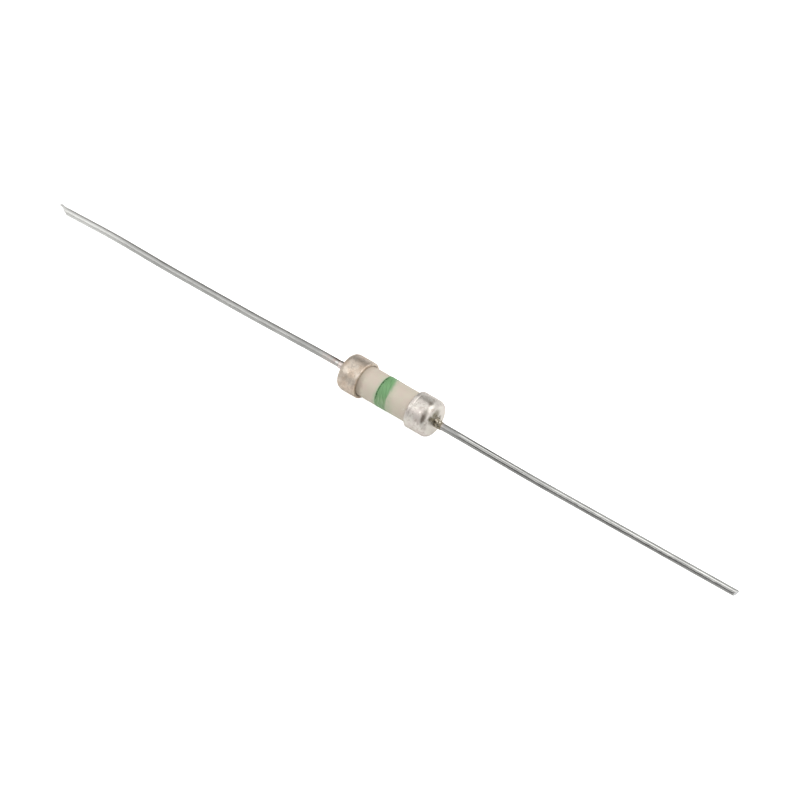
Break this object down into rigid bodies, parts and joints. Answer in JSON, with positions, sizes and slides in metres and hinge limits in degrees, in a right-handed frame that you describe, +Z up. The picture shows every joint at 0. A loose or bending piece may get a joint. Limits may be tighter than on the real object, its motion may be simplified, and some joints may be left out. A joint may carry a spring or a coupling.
{
  "type": "ceramic cartridge fuse with axial leads",
  "caption": "Small ceramic cartridge fuse: a cream tube with a green ring between two nickel-plated caps, with a long stiff wire lead soldered into each cap.",
  "frame": {"origin": "middle of the fuse body, on its axis", "axes": "+X along the fuse's axis towards the square-cut lead, +Z up"},
  "size_m": [0.0766, 0.0036, 0.0036],
  "materials": {
    "ceramic": "matte",
    "band_paint": "satin",
    "left_cap_metal": "satin",
    "right_cap_metal": "satin",
    "lead_wire": "satin",
    "solder": "satin",
    "element_wire": "satin"
  },
  "bodies": {
    "root": {"ceramic_tube": "ceramic", "green_band": "band_paint", "left_end_cap": "left_cap_metal", "right_end_cap": "right_cap_metal", "left_lead": "lead_wire", "right_lead": "lead_wire", "left_solder_fillet": "solder", "right_solder_fillet": "solder", "left_inner_solder": "solder", "right_inner_solder": "solder", "fuse_element": "element_wire"}
  },
  "joints": []
}
